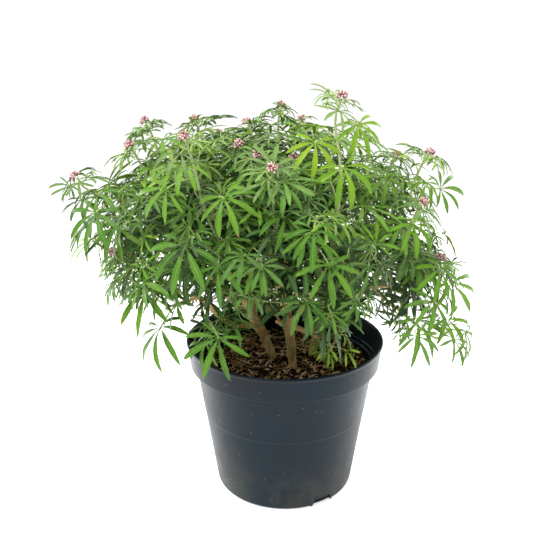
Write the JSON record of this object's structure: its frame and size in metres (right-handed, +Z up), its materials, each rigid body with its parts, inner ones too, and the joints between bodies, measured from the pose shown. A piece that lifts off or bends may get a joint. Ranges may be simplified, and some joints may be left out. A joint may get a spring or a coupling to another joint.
{
  "type": "potted mexican orange blossom",
  "caption": "Evergreen shrub with narrow palmate leaves and pink flower buds, growing in a tapered nursery pot that stands on its flat underside.",
  "frame": {"origin": "middle of the pot's flat underside", "axes": "+Z up, +X to the right as seen from the front, -Y to the front"},
  "size_m": [0.4204, 0.366, 0.4576],
  "materials": {
    "pot_plastic": "satin black moulded plastic, dusty",
    "potting_soil": "moist bark and fibre potting mix",
    "bark": "smooth tan bark with shallow furrows",
    "foliage": "smooth green leaves, slightly glossy",
    "flower_buds": "dull pink buds"
  },
  "bodies": {
    "root": {"nursery_pot": "pot_plastic", "soil_root_ball": "potting_soil", "woody_stems_left": "bark", "woody_stems_centre": "bark", "woody_stems_right": "bark", "leafy_shoot_low_left": "foliage", "leafy_shoot_rim_left": "foliage", "leafy_shoot_low_left_bud": "foliage", "leafy_shoot_far_left": "foliage", "leafy_shoot_left_two": "foliage", "leafy_shoot_upper_left": "foliage", "leafy_shoot_front_left": "foliage", "leafy_shoot_crown_a": "foliage", "leafy_shoot_top_left": "foliage", "leafy_shoot_crown_b": "foliage", "leafy_shoot_back_left_top": "foliage", "leafy_shoot_left_back": "foliage", "leafy_shoot_left_back_low": "foliage", "leafy_shoot_back_left_low": "foliage", "leafy_shoot_crown_d": "foliage", "leafy_shoot_crown_e": "foliage", "leafy_shoot_front_small": "foliage", "leafy_shoot_crown_c": "foliage", "leafy_shoot_crown_f": "foliage", "leafy_shoot_tall_right": "foliage", "leafy_shoot_front_mid": "foliage", "leafy_shoot_front_low": "foliage", "leafy_shoot_soil_shoot": "foliage", "leafy_shoot_right_c": "foliage", "leafy_shoot_right_d": "foliage", "leafy_shoot_low_right": "foliage", "leafy_shoot_right_a": "foliage", "leafy_shoot_right_b": "foliage", "leafy_shoot_right_back_low": "foliage", "leafy_shoot_right_back": "foliage", "leafy_shoot_back_right_low": "foliage", "leafy_shoot_right_back_top": "foliage", "leafy_shoot_back_top": "foliage", "leafy_shoot_back_mid": "foliage", "bud_cluster_low_left_bud": "flower_buds", "bud_cluster_far_left": "flower_buds", "bud_cluster_left_two": "flower_buds", "bud_cluster_upper_left": "flower_buds", "bud_cluster_front_left": "flower_buds", "bud_cluster_crown_a": "flower_buds", "bud_cluster_top_left": "flower_buds", "bud_cluster_crown_b": "flower_buds", "bud_cluster_back_left_top": "flower_buds", "bud_cluster_crown_d": "flower_buds", "bud_cluster_crown_e": "flower_buds", "bud_cluster_crown_c": "flower_buds", "bud_cluster_crown_f": "flower_buds", "bud_cluster_tall_right": "flower_buds", "bud_cluster_right_c": "flower_buds", "bud_cluster_right_d": "flower_buds", "bud_cluster_right_a": "flower_buds", "bud_cluster_right_b": "flower_buds", "bud_cluster_right_back_top": "flower_buds", "bud_cluster_back_top": "flower_buds"}
  },
  "joints": []
}
